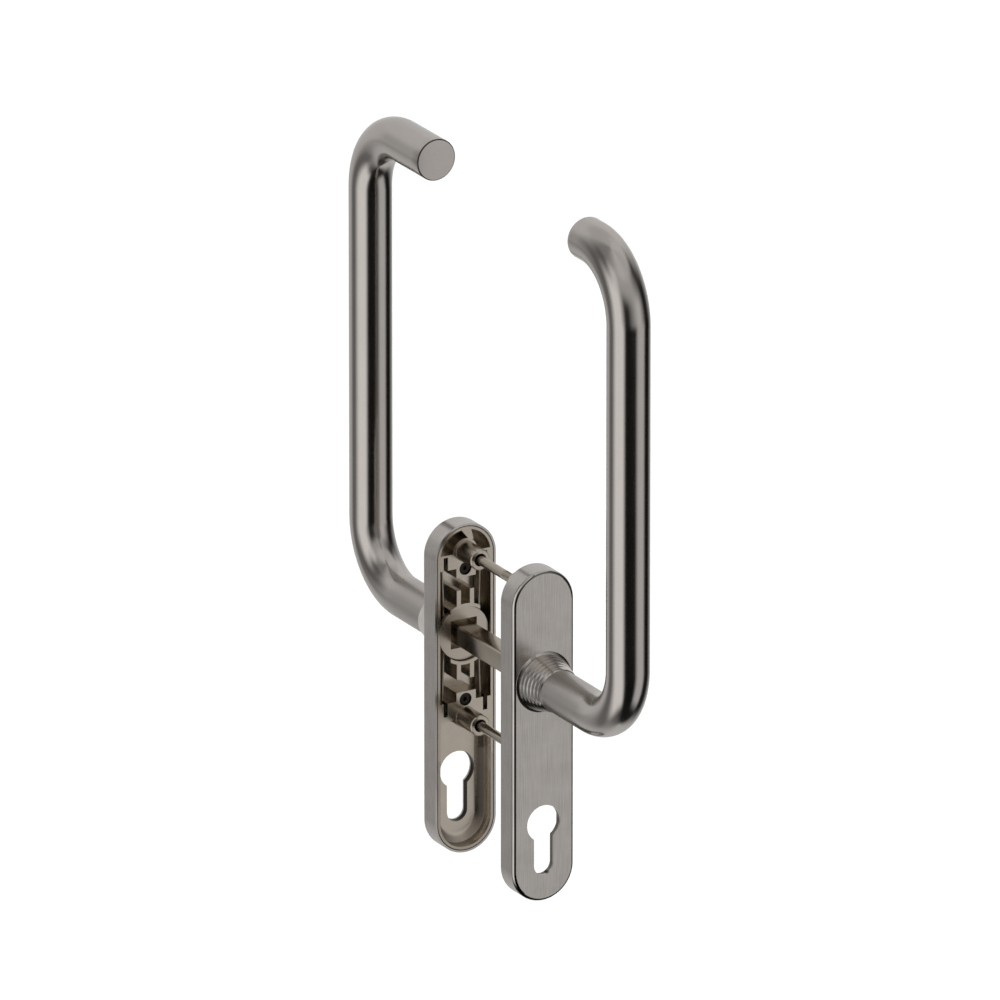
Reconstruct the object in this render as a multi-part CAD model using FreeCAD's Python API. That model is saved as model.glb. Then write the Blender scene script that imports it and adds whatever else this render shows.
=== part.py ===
"""Lift and slide door handle: two handles on long plates, keyed on one square spindle.

All lengths are millimetres. The frame's origin lies on the spindle axis, midway between
the two faces of the door. +Z is up, -Y is the exterior side and +Y the interior side.
Each plate is drawn once in its own plate frame, where +Y points away from the door and
the spindle axis is the Y axis, and is then set on its side of the door.
"""
import FreeCAD, Part

import math
import os

# Door and plates
DOOR_THICKNESS = 60.0
PLATE_WIDTH = 32.0
PLATE_TOP = 53.75
PLATE_BOTTOM = -107.0
PLATE_DEPTH = 11.5
COVER_WALL = 1.0
COVER_EDGE_RADIUS = 0.9
COVER_FIT = 0.06

# Cast carrier inside the cover
CARRIER_WALL = 1.7
CARRIER_FLOOR = 1.8
LOWER_FLOOR = 2.6
CARRIER_EDGE = 0.5
DISH_REACH = 3.6
DISH_RISE = 2.0
DISH_RADIUS = 5.0
RIB_WIDTH = 2.3
RIB_CENTRE = 3.45
RIB_END = 21.8
HOUSING_WALL = 1.7
HOUSING_HALF_WIDTH = 7.8
POCKET_END = 32.5
TOP_POCKET_START = 40.0
LOWER_CAVITY_START = -41.2
LOWER_SHELF_END = -50.0
LOWER_SHELF_SIDE = 5.2
TOP_BOSS_RADIUS = 6.2
TOP_RIB_HEAD_LEFT = -3.0
TOP_RIB_HEAD_RIGHT = 2.8
TOP_RIB_FOOT_LEFT = 2.1
TOP_RIB_FOOT_RIGHT = 4.4

# Fixing posts and through bolts
POST_PITCH = 81.0
POST_RADIUS = 5.0
POST_REACH = 13.7
POST_EDGE = 0.4
POST_SHOULDER = 0.4
BOLT_RADIUS = 2.25
BOLT_HOLE_RADIUS = 3.0
BOLT_HEAD_RADIUS = 4.1
BOLT_HEAD_DEPTH = 2.5
BOLT_HEAD_COVER = 0.3
BOLT_KEY = 4.0
BOLT_THREAD_GRIP = 12.0
TAP_RUN_OUT = 3.5
THREAD_FIT = 0.05

# Screws that hold the cover to the carrier
COVER_SCREW_TO_POST = 8.5
COVER_SCREW_RADIUS = 1.5
COVER_SCREW_LENGTH = 6.2
COVER_SCREW_HEAD_RADIUS = 2.8
COVER_SCREW_HEAD_DEPTH = 2.2
COVER_SCREW_SINK = 0.8
COVER_SCREW_WELL_RADIUS = 3.1
COVER_SCREW_KEY = 2.0
SCREW_SEAT_DEPTH = 2.0
STUD_RADIUS = 2.6
STUD_FIT = 0.15
SCREW_BLOCK_REACH = 4.0
SCREW_BLOCK_LEFT = -4.8
SCREW_BLOCK_RIGHT = 5.5

# Profile cylinder hole
CYLINDER_DISTANCE = 69.0
CYLINDER_RADIUS = 8.75
CYLINDER_STEM_WIDTH = 10.2
CYLINDER_HEIGHT = 34.0
CARRIER_HOLE_MARGIN = 0.2

# Turning core: spindle, rotor and bearing bush
SPINDLE_WIDTH = 10.0
SPINDLE_CHAMFER = 0.8
SPINDLE_END_GAP = 1.5
SPINDLE_FIT = 0.05
ROTOR_SINK = 1.6
ROTOR_DISC_DEPTH = 2.0
ROTOR_RUNNING_GAP = 0.3
ROTOR_NECK_RADIUS = 8.0
ROTOR_NECK_LENGTH = 14.0
RECESS_WIDTH = 13.6
RECESS_DEPTH = 4.7
CAM_WIDTH = 17.8
CAM_CORNER_STEP = 2.34
BUSH_WALL = 1.15
BUSH_FIT = 0.05
BUSH_FLANGE_RADIUS = 14.9
BUSH_FLANGE_DEPTH = 0.8
BUSH_FLANGE_EDGE = 0.3

# Detent leaf springs
SPRING_THICKNESS = 0.8
SPRING_DEPTH = 4.0
SPRING_CAM_GAP = 0.05
SPRING_END_SPREAD = 1.0
SPRING_SINK = 3.9
SPRING_SLOT_WIDTH = 2.1
SPRING_SLOT_END = 38.9
SPRING_END_GAP = 0.4
SPRING_FLOOR_GAP = 0.3

# Collar and grip
COLLAR_GAP = 0.3
COLLAR_BASE_RADIUS = 13.2
COLLAR_NOSE_RADIUS = 10.35
COLLAR_LENGTH = 13.2
COLLAR_EDGE = 0.3
SPIGOT_LENGTH = 10.0
SPIGOT_FIT = 0.05
GRUB_RADIUS = 2.45
GRUB_PLACE = 6.0
GRUB_SINK = 0.4
GRUB_KEY = 2.5
GRIP_RADIUS = 10.0
GRIP_WALL = 2.0
GRIP_BEND_RADIUS = 31.0
GRIP_STANDOFF = 75.75
INTERIOR_HEIGHT = 222.0
INTERIOR_LEG = 61.0
EXTERIOR_HEIGHT = 226.5
EXTERIOR_LEG = 38.0
GRIP_END_EDGE = 0.6

RIM = DOOR_THICKNESS / 2
FACE = RIM + PLATE_DEPTH
COVER_INSIDE = FACE - COVER_WALL
FLOOR = COVER_INSIDE - CARRIER_FLOOR
DISH_FLOOR = COVER_INSIDE - LOWER_FLOOR
HALF_WIDTH = PLATE_WIDTH / 2
CARRIER_HALF_WIDTH = HALF_WIDTH - COVER_WALL - COVER_FIT
CAVITY_HALF_WIDTH = CARRIER_HALF_WIDTH - CARRIER_WALL
TOP_ARC_CENTRE = PLATE_TOP - HALF_WIDTH
BOTTOM_ARC_CENTRE = PLATE_BOTTOM + HALF_WIDTH
ROTOR_DISC_RADIUS = CAVITY_HALF_WIDTH - ROTOR_RUNNING_GAP
CAM_CORNER_RADIUS = ROTOR_DISC_RADIUS - CAM_CORNER_STEP
BUSH_RADIUS = ROTOR_NECK_RADIUS + BUSH_FIT + BUSH_WALL
BUSH_FACE = FACE + BUSH_FLANGE_DEPTH
DISC_NEAR = RIM + ROTOR_SINK
DISC_FAR = DISC_NEAR + ROTOR_DISC_DEPTH
CAM_FAR = FLOOR - ROTOR_RUNNING_GAP
NECK_END = CAM_FAR + ROTOR_NECK_LENGTH
SPINDLE_END = NECK_END - SPINDLE_END_GAP
COLLAR_BASE = BUSH_FACE + COLLAR_GAP
COLLAR_NOSE = COLLAR_BASE + COLLAR_LENGTH
GRIP_DEPTH = FACE + GRIP_STANDOFF
SPRING_NEAR = RIM + SPRING_SINK
COVER_SCREW_PLACE = POST_PITCH / 2 - COVER_SCREW_TO_POST
HEAD_SEAT = RIM + COVER_SCREW_SINK + COVER_SCREW_HEAD_DEPTH
STUD_START = HEAD_SEAT + SCREW_SEAT_DEPTH
BOLT_SEAT = COVER_INSIDE - BOLT_HEAD_COVER - BOLT_HEAD_DEPTH
POST_END = RIM - POST_REACH
OUTWARD = FreeCAD.Vector(0, 1, 0)
OVERRUN = 1.0
SAME_PLACE = 1e-4


def point(x, depth, z):
    """A point of the plate frame: across, away from the door, and up."""
    return FreeCAD.Vector(x, depth, z)


def rod(radius, near, far, x=0.0, z=0.0):
    """A round bar along Y between two depths."""
    return Part.makeCylinder(radius, far - near, point(x, near, z), OUTWARD)


def block(left, right, low, high, near, far):
    """A rectangular block given by its six faces."""
    return Part.makeBox(right - left, far - near, high - low, point(left, near, low))


def prism(outline, near, far):
    """A closed outline of edges in the plane Y = near, drawn out to the depth far."""
    face = Part.Face(Part.Wire(outline))
    return face.extrude(point(0, far - near, 0))


def polygon(corners, near, far):
    """A prism on straight sides through (x, z) corners."""
    points = [point(x, near, z) for x, z in corners]
    return prism(Part.makePolygon(points + points[:1]).Edges, near, far)


def long_round_edges(half_width, low_centre, high_centre, depth):
    """An outline at one depth with straight sides and a half round at each end."""
    bottom = Part.Arc(
        point(-half_width, depth, low_centre),
        point(0, depth, low_centre - half_width),
        point(half_width, depth, low_centre),
    )
    top = Part.Arc(
        point(half_width, depth, high_centre),
        point(0, depth, high_centre + half_width),
        point(-half_width, depth, high_centre),
    )
    right = Part.LineSegment(point(half_width, depth, low_centre), point(half_width, depth, high_centre))
    left = Part.LineSegment(point(-half_width, depth, high_centre), point(-half_width, depth, low_centre))
    return [bottom.toShape(), right.toShape(), top.toShape(), left.toShape()]


def long_round(half_width, low_centre, high_centre, near, far):
    """A slab with straight sides and a half round at each end."""
    return prism(long_round_edges(half_width, low_centre, high_centre, near), near, far)


def edges_at(shape, depth):
    """The edges that lie wholly at one depth."""
    found = []
    for edge in shape.Edges:
        box = edge.BoundBox
        if max(abs(box.YMin - depth), abs(box.YMax - depth)) < SAME_PLACE:
            found.append(edge)
    return found


def joined(shapes):
    """Several overlapping solids as one."""
    return shapes[0].multiFuse(shapes[1:]).removeSplitter()


def turned(profile):
    """A solid turned about the Y axis from (radius, depth) points."""
    points = [point(radius, depth, 0) for radius, depth in profile]
    face = Part.Face(Part.makePolygon(points + points[:1]))
    return face.revolve(FreeCAD.Vector(), OUTWARD, 360)


def hexagon(across_flats, near, far, x=0.0, z=0.0):
    """A six-sided key socket along Y."""
    reach = across_flats / math.sqrt(3)
    corners = []
    for step in range(6):
        angle = math.radians(60 * step)
        corners.append((x + reach * math.cos(angle), z + reach * math.sin(angle)))
    return polygon(corners, near, far)


def plate_slab(half_width, near, far):
    """The plate's own outline at a given half width."""
    return long_round(half_width, BOTTOM_ARC_CENTRE, TOP_ARC_CENTRE, near, far)


def cylinder_hole(margin, near, far):
    """The profile cylinder's hole: a circle with a round-ended stem below it."""
    radius = CYLINDER_RADIUS + margin
    half_stem = CYLINDER_STEM_WIDTH / 2 + margin
    low_centre = -CYLINDER_DISTANCE + CYLINDER_RADIUS - CYLINDER_HEIGHT + CYLINDER_STEM_WIDTH / 2
    stem = long_round(half_stem, low_centre, -CYLINDER_DISTANCE, near, far)
    return joined([rod(radius, near, far, z=-CYLINDER_DISTANCE), stem])


def cover():
    """The drawn outer cover, with two threaded studs on its inside."""
    outside = plate_slab(HALF_WIDTH, RIM, FACE)
    outside = outside.makeFillet(COVER_EDGE_RADIUS, edges_at(outside, FACE))
    shell = outside.cut(plate_slab(HALF_WIDTH - COVER_WALL, RIM - OVERRUN, COVER_INSIDE))
    for z in (-COVER_SCREW_PLACE, COVER_SCREW_PLACE):
        shell = shell.fuse(rod(STUD_RADIUS, STUD_START, COVER_INSIDE, z=z))
        thread = COVER_SCREW_RADIUS + THREAD_FIT
        shell = shell.cut(rod(thread, STUD_START - OVERRUN, COVER_INSIDE, z=z))
    shell = shell.cut(rod(BUSH_RADIUS + BUSH_FIT, COVER_INSIDE - OVERRUN, FACE + OVERRUN))
    return shell.cut(cylinder_hole(0.0, COVER_INSIDE - OVERRUN, FACE + OVERRUN))


def main_cavity():
    """The open middle that holds the rotor and both leaf springs."""
    return block(-CAVITY_HALF_WIDTH, CAVITY_HALF_WIDTH, -POCKET_END, POCKET_END, RIM - OVERRUN, FLOOR)


def main_islands():
    """What stands in the middle: rotor housing, ribs and the two screw blocks."""
    near = RIM
    far = FLOOR
    bore = ROTOR_DISC_RADIUS + ROTOR_RUNNING_GAP
    ring = rod(bore + HOUSING_WALL, near, far).cut(rod(bore, near - OVERRUN, far + OVERRUN))
    pieces = []
    for side in (-1, 1):
        low, high = sorted((side * bore / 2, side * (bore + HOUSING_WALL)))
        window = block(-HOUSING_HALF_WIDTH, HOUSING_HALF_WIDTH, low, high, near, far)
        pieces.append(ring.common(window))
        rib_low, rib_high = sorted((side * (bore + HOUSING_WALL / 2), side * RIB_END))
        for centre in (-RIB_CENTRE, RIB_CENTRE):
            pieces.append(block(centre - RIB_WIDTH / 2, centre + RIB_WIDTH / 2, rib_low, rib_high, near, far))
        block_start = COVER_SCREW_PLACE - SCREW_BLOCK_REACH
        screw_low, screw_high = sorted((side * block_start, side * (POCKET_END + OVERRUN)))
        pieces.append(block(SCREW_BLOCK_LEFT, SCREW_BLOCK_RIGHT, screw_low, screw_high, near, far))
    return pieces


def spring_slots():
    """The four slots that hold the ends of the leaf springs."""
    slots = []
    centre = spring_end_offset()
    for side in (-1, 1):
        for end in (-1, 1):
            low, high = sorted((end * (POCKET_END - OVERRUN), end * SPRING_SLOT_END))
            left = side * centre - SPRING_SLOT_WIDTH / 2
            right = left + SPRING_SLOT_WIDTH
            slots.append(block(left, right, low, high, RIM - OVERRUN, spring_far() + SPRING_FLOOR_GAP))
    return slots


def top_pockets():
    """Two cored pockets round the upper post, parted by a leaning rib."""
    start = TOP_POCKET_START
    whole = rod(CAVITY_HALF_WIDTH, RIM - OVERRUN, FLOOR, z=TOP_ARC_CENTRE)
    window = block(-HALF_WIDTH, HALF_WIDTH, start, PLATE_TOP, RIM - OVERRUN, FLOOR)
    rib_top = TOP_ARC_CENTRE + CAVITY_HALF_WIDTH + OVERRUN
    rib_foot = POST_PITCH / 2 + POST_RADIUS
    rib = polygon(
        [
            (TOP_RIB_HEAD_LEFT, rib_top),
            (TOP_RIB_FOOT_LEFT, rib_foot),
            (TOP_RIB_FOOT_RIGHT, rib_foot),
            (TOP_RIB_HEAD_RIGHT, rib_top),
        ],
        RIM - OVERRUN,
        FLOOR + OVERRUN,
    )
    boss = rod(TOP_BOSS_RADIUS, RIM - OVERRUN, FLOOR + OVERRUN, z=POST_PITCH / 2)
    return whole.common(window).cut(rib).cut(boss)


def lower_cavity():
    """The open lower end round the cylinder hole, whose floor rises to its walls like a dish."""
    near = RIM - OVERRUN
    below = near - OVERRUN
    above = FLOOR + OVERRUN
    start = LOWER_CAVITY_START
    high_centre = LOWER_CAVITY_START + CAVITY_HALF_WIDTH
    dish_rim = DISH_FLOOR - DISH_RISE
    walls = long_round(CAVITY_HALF_WIDTH, BOTTOM_ARC_CENTRE, high_centre, near, dish_rim)
    wide = long_round_edges(CAVITY_HALF_WIDTH, BOTTOM_ARC_CENTRE, high_centre, dish_rim)
    narrow = long_round_edges(CAVITY_HALF_WIDTH - DISH_REACH, BOTTOM_ARC_CENTRE, high_centre, DISH_FLOOR)
    dish = Part.makeLoft([Part.Wire(wide), Part.Wire(narrow)], True, True)
    cavity = joined([walls, dish])
    cavity = cavity.makeFillet(DISH_RADIUS, edges_at(cavity, DISH_FLOOR))
    upper_part = block(-HALF_WIDTH, HALF_WIDTH, start, high_centre + HALF_WIDTH, below, above)
    shelf = block(LOWER_SHELF_SIDE, HALF_WIDTH, LOWER_SHELF_END, start + OVERRUN, below, above)
    return cavity.cut(upper_part).cut(shelf)


def post(z):
    """One fixing post with a small edge at its end and a thicker root inside the carrier."""
    bar = rod(POST_RADIUS, POST_END, FLOOR, z=z)
    bar = bar.makeChamfer(POST_EDGE, edges_at(bar, POST_END))
    root = rod(POST_RADIUS + POST_SHOULDER, RIM, FLOOR + CARRIER_FLOOR / 2, z=z)
    return joined([bar, root])


def carrier(threaded_posts):
    """The die-cast carrier: rim, floor, ribs, pockets and two long posts."""
    body = plate_slab(CARRIER_HALF_WIDTH, RIM, COVER_INSIDE)
    body = body.makeChamfer(CARRIER_EDGE, edges_at(body, COVER_INSIDE))
    body = body.cut(main_cavity()).cut(lower_cavity()).cut(top_pockets())
    body = joined([body] + main_islands())
    for slot in spring_slots():
        body = body.cut(slot)
    posts = [post(z) for z in (-POST_PITCH / 2, POST_PITCH / 2)]
    body = joined([body] + posts)
    for z in (-POST_PITCH / 2, POST_PITCH / 2):
        if threaded_posts:
            depth = POST_END + BOLT_THREAD_GRIP + TAP_RUN_OUT
            body = body.cut(rod(BOLT_RADIUS + THREAD_FIT, POST_END - OVERRUN, depth, z=z))
        else:
            body = body.cut(rod(BOLT_HOLE_RADIUS, POST_END - OVERRUN, COVER_INSIDE + OVERRUN, z=z))
            head_well = BOLT_HEAD_RADIUS + STUD_FIT
            body = body.cut(rod(head_well, BOLT_SEAT, COVER_INSIDE + OVERRUN, z=z))
    for z in (-COVER_SCREW_PLACE, COVER_SCREW_PLACE):
        body = body.cut(rod(COVER_SCREW_WELL_RADIUS, RIM - OVERRUN, HEAD_SEAT, z=z))
        body = body.cut(rod(COVER_SCREW_RADIUS + STUD_FIT, HEAD_SEAT - OVERRUN, STUD_START, z=z))
        body = body.cut(rod(STUD_RADIUS + STUD_FIT, STUD_START - STUD_FIT, COVER_INSIDE + OVERRUN, z=z))
    body = body.cut(rod(BUSH_RADIUS + BUSH_FIT, FLOOR - OVERRUN, COVER_INSIDE + OVERRUN))
    return body.cut(cylinder_hole(CARRIER_HOLE_MARGIN, DISH_FLOOR - OVERRUN, COVER_INSIDE + OVERRUN))


def bush():
    """The bearing bush, whose flange shows as a thin ring round the collar."""
    inner = ROTOR_NECK_RADIUS + BUSH_FIT
    profile = [
        (inner, FLOOR),
        (BUSH_RADIUS, FLOOR),
        (BUSH_RADIUS, FACE),
        (BUSH_FLANGE_RADIUS, FACE),
        (BUSH_FLANGE_RADIUS, BUSH_FACE - BUSH_FLANGE_EDGE),
        (BUSH_FLANGE_RADIUS - BUSH_FLANGE_EDGE, BUSH_FACE),
        (inner, BUSH_FACE),
    ]
    return turned(profile)


def spindle_bar(width, near, far):
    """A square bar along Y with its long edges taken off."""
    bar = block(-width / 2, width / 2, -width / 2, width / 2, near, far)
    long_edges = [e for e in bar.Edges if e.BoundBox.YLength > (far - near) / 2]
    return bar.makeChamfer(SPINDLE_CHAMFER, long_edges)


def rotor():
    """The disc, its detent cam with a square recess, and the neck that the grip sits on."""
    disc = rod(ROTOR_DISC_RADIUS, DISC_NEAR, DISC_FAR)
    half_cam = CAM_WIDTH / 2
    cam = block(-half_cam, half_cam, -half_cam, half_cam, DISC_FAR, CAM_FAR)
    cam = cam.common(rod(CAM_CORNER_RADIUS, DISC_FAR, CAM_FAR))
    neck = rod(ROTOR_NECK_RADIUS, CAM_FAR, NECK_END)
    body = joined([disc, cam, neck])
    half_recess = RECESS_WIDTH / 2
    recess_far = DISC_NEAR + RECESS_DEPTH
    recess = block(-half_recess, half_recess, -half_recess, half_recess, DISC_NEAR - OVERRUN, recess_far)
    socket = spindle_bar(SPINDLE_WIDTH + 2 * SPINDLE_FIT, recess_far - OVERRUN, SPINDLE_END + SPINDLE_FIT)
    return body.cut(recess).cut(socket)


def spring_middle_offset():
    """How far a spring's middle line stands from the spindle axis beside the cam."""
    return CAM_WIDTH / 2 + SPRING_CAM_GAP + SPRING_THICKNESS / 2


def spring_end_offset():
    """How far a spring's ends stand from the spindle axis, in their slots."""
    return spring_middle_offset() + SPRING_END_SPREAD


def spring_far():
    """The depth of a spring's far edge."""
    return SPRING_NEAR + SPRING_DEPTH


def leaf_spring(side):
    """A flat strip, bowed in against the cam and held in a slot at each end."""
    end = SPRING_SLOT_END - SPRING_END_GAP
    outline = []
    for offset in (-SPRING_THICKNESS / 2, SPRING_THICKNESS / 2):
        tip = side * (spring_end_offset() + offset)
        middle = side * (spring_middle_offset() + offset)
        low = point(tip, SPRING_NEAR, -end)
        high = point(tip, SPRING_NEAR, end)
        outline.append(Part.Arc(low, point(middle, SPRING_NEAR, 0), high).toShape())
    inner, outer = outline
    caps = []
    for z in (-end, end):
        inner_tip = point(side * (spring_end_offset() - SPRING_THICKNESS / 2), SPRING_NEAR, z)
        outer_tip = point(side * (spring_end_offset() + SPRING_THICKNESS / 2), SPRING_NEAR, z)
        caps.append(Part.makeLine(inner_tip, outer_tip))
    wire = Part.Wire(Part.__sortEdges__([inner, outer] + caps))
    return Part.Face(wire).extrude(point(0, SPRING_DEPTH, 0))


def collar_radius(depth):
    """The collar's outer radius at a depth, on its even taper."""
    share = (depth - COLLAR_BASE) / COLLAR_LENGTH
    return COLLAR_BASE_RADIUS + share * (COLLAR_NOSE_RADIUS - COLLAR_BASE_RADIUS)


def collar():
    """The turned collar between the plate and the grip, with a spigot into the grip."""
    bore = ROTOR_NECK_RADIUS + BUSH_FIT
    bore_end = NECK_END + SPINDLE_FIT
    spigot = GRIP_RADIUS - GRIP_WALL - SPIGOT_FIT
    profile = [
        (bore, COLLAR_BASE),
        (COLLAR_BASE_RADIUS - COLLAR_EDGE, COLLAR_BASE),
        (collar_radius(COLLAR_BASE + COLLAR_EDGE), COLLAR_BASE + COLLAR_EDGE),
        (collar_radius(COLLAR_NOSE - COLLAR_EDGE), COLLAR_NOSE - COLLAR_EDGE),
        (COLLAR_NOSE_RADIUS - COLLAR_EDGE, COLLAR_NOSE),
        (spigot, COLLAR_NOSE),
        (spigot, COLLAR_NOSE + SPIGOT_LENGTH),
        (0, COLLAR_NOSE + SPIGOT_LENGTH),
        (0, bore_end),
        (bore, bore_end),
    ]
    body = turned(profile)
    place = point(0, COLLAR_BASE + GRUB_PLACE, 0)
    hole = Part.makeCylinder(GRUB_RADIUS + THREAD_FIT, COLLAR_BASE_RADIUS + OVERRUN, place, point(0, 0, -1))
    return body.cut(hole)


def grub_screw():
    """The set screw under the collar that locks it on the rotor's neck."""
    depth = COLLAR_BASE + GRUB_PLACE
    start = ROTOR_NECK_RADIUS + THREAD_FIT
    length = collar_radius(depth) - GRUB_SINK - start
    body = rod(GRUB_RADIUS, 0, length)
    body = body.cut(hexagon(GRUB_KEY, length / 2, length + OVERRUN))
    body.rotate(FreeCAD.Vector(), point(1, 0, 0), -90)
    body.translate(point(0, depth, -start))
    return body


def bar_path(radius, height, leg):
    """A bent round bar: neck, bend, grip, bend and the leg that turns back to the door."""
    bend = GRIP_BEND_RADIUS
    straight_depth = GRIP_DEPTH - bend
    neck = rod(radius, COLLAR_NOSE, straight_depth)
    upright = Part.makeCylinder(radius, height - 2 * bend, point(0, GRIP_DEPTH, bend), point(0, 0, 1))
    back = rod(radius, GRIP_DEPTH - leg, straight_depth, z=height)
    section = Part.Face(Part.Wire(Part.makeCircle(radius, point(0, straight_depth, 0), OUTWARD)))
    lower_bend = section.revolve(point(0, straight_depth, bend), point(1, 0, 0), 90)
    section = Part.Face(Part.Wire(Part.makeCircle(radius, point(0, straight_depth, height), OUTWARD)))
    upper_bend = section.revolve(point(0, straight_depth, height - bend), point(1, 0, 0), -90)
    return joined([neck, lower_bend, upright, upper_bend, back])


def grip(height, leg):
    """The tubular grip, closed flat at the end of its leg."""
    outside = bar_path(GRIP_RADIUS, height, leg)
    end = GRIP_DEPTH - leg
    outside = outside.makeFillet(GRIP_END_EDGE, edges_at(outside, end))
    return outside.cut(bar_path(GRIP_RADIUS - GRIP_WALL, height, leg - GRIP_WALL))


def cover_screw(z):
    """A small screw from the door side into the cover's stud."""
    near = RIM + COVER_SCREW_SINK
    head = rod(COVER_SCREW_HEAD_RADIUS, near, HEAD_SEAT, z=z)
    shank = rod(COVER_SCREW_RADIUS, HEAD_SEAT, HEAD_SEAT + COVER_SCREW_LENGTH, z=z)
    socket = hexagon(COVER_SCREW_KEY, near - OVERRUN, near + COVER_SCREW_HEAD_DEPTH / 2, z=z)
    return joined([head, shank]).cut(socket)


def through_bolt(z):
    """The long bolt from the interior carrier into the exterior carrier's post."""
    head_far = BOLT_SEAT + BOLT_HEAD_DEPTH
    head = rod(BOLT_HEAD_RADIUS, BOLT_SEAT, head_far, z=z)
    shank = rod(BOLT_RADIUS, -POST_END - BOLT_THREAD_GRIP, BOLT_SEAT, z=z)
    socket = hexagon(BOLT_KEY, head_far - BOLT_HEAD_DEPTH / 2, head_far + OVERRUN, z=z)
    return joined([head, shank]).cut(socket)


def spindle():
    """The square spindle that keys both handles together."""
    return spindle_bar(SPINDLE_WIDTH, -SPINDLE_END, SPINDLE_END)


def side_pieces(height, leg, threaded_posts):
    """Every piece of one handle on its plate, in the plate frame."""
    return {
        "cover_plate": cover(),
        "carrier": carrier(threaded_posts),
        "bearing_bush": bush(),
        "rotor": rotor(),
        "leaf_spring_left": leaf_spring(-1),
        "leaf_spring_right": leaf_spring(1),
        "cover_screw_lower": cover_screw(-COVER_SCREW_PLACE),
        "cover_screw_upper": cover_screw(COVER_SCREW_PLACE),
        "collar": collar(),
        "grub_screw": grub_screw(),
        "grip": grip(height, leg),
    }


def build():
    """All nodes by name, in the frame of the whole handle set."""
    nodes = {}
    for name, shape in side_pieces(INTERIOR_HEIGHT, INTERIOR_LEG, False).items():
        nodes["interior_" + name] = shape
    for name, shape in side_pieces(EXTERIOR_HEIGHT, EXTERIOR_LEG, True).items():
        shape.rotate(FreeCAD.Vector(), point(0, 0, 1), 180)
        nodes["exterior_" + name] = shape
    nodes["spindle"] = spindle()
    nodes["through_bolt_lower"] = through_bolt(-POST_PITCH / 2)
    nodes["through_bolt_upper"] = through_bolt(POST_PITCH / 2)
    return nodes


os.makedirs("parts", exist_ok=True)
for node_name, node_shape in build().items():
    node_shape.exportStep("parts/" + node_name + ".step")
    print(node_name, node_shape.isValid(), len(node_shape.Solids), round(node_shape.Volume, 1))
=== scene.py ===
"""Finishes, fine geometry and studio for a lift and slide door handle.

Every surface is worked out in millimetres in one side's plate frame, where +Y points away
from the door and the spindle's axis is the Y axis. The exterior side is the same side
turned half round about Z. Meshes are written in metres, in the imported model's frame.
"""
import logging
import math
from dataclasses import dataclass, replace
from enum import Enum
from functools import cached_property
from typing import Any, Optional, Sequence

import bmesh
import bpy
import numpy as np
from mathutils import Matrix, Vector


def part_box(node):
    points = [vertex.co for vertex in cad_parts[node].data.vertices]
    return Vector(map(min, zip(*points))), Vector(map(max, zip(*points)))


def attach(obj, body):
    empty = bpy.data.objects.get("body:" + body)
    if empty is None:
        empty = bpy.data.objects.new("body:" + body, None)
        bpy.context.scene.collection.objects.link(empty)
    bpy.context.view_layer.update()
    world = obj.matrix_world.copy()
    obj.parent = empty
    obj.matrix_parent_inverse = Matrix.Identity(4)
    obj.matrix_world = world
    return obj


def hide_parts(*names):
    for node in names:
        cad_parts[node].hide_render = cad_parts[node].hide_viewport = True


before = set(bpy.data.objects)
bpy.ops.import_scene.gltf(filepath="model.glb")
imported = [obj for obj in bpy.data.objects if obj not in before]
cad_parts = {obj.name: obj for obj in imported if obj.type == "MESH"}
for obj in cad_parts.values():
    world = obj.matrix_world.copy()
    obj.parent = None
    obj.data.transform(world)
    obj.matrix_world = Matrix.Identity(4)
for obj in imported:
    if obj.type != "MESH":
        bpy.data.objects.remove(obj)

Node = bpy.types.Node
Socket = bpy.types.NodeSocket
Tree = bpy.types.NodeTree

LOG = logging.getLogger("handle_set")
MM = 0.001
AROUND = 96
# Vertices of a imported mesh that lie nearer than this, in metres, are one vertex.
MERGE_DISTANCE = 2e-7
# The noises' middle values, over which tones and roughness spread.
NOISE_SPAN = {"From Min": 0.25, "From Max": 0.75}
# The lock cylinder's hole and the hollow round it lie below this height.
LOCK_TOP_MM = -60.0
# A surface whose normal has a smaller share across the door counts as a wall.
WALL_SHARE = 0.4


class Side(Enum):
    """The two sides of the door, with the sign that turns the plate frame onto each."""

    INTERIOR = 1
    EXTERIOR = -1


class Body(Enum):
    """The two rigid bodies of the set."""

    PLATES = "plates"
    HANDLES = "handles"


class Grain(Enum):
    """Which way a finish's fine lines run."""

    UPRIGHT = "upright"
    ROUND_AXIS = "round_axis"
    NONE = "none"


def linear(hex_colour: str) -> tuple[float, float, float, float]:
    """Turns an sRGB hex colour into the linear colour that a shader takes.

    Args:
        hex_colour: six hex digits with a leading hash.

    Returns:
        Linear red, green, blue and an alpha of 1.
    """
    parts = np.array([int(hex_colour[i : i + 2], 16) for i in (1, 3, 5)]) / 255.0
    low = parts / 12.92
    high = ((parts + 0.055) / 1.055) ** 2.4
    red, green, blue = np.where(parts <= 0.04045, low, high)
    return float(red), float(green), float(blue), 1.0


def empty_tree(owner: Any) -> Tree:
    """Turns on the nodes of a material or world and returns its emptied tree."""
    owner.use_nodes = True
    owner.node_tree.nodes.clear()
    return owner.node_tree


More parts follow.
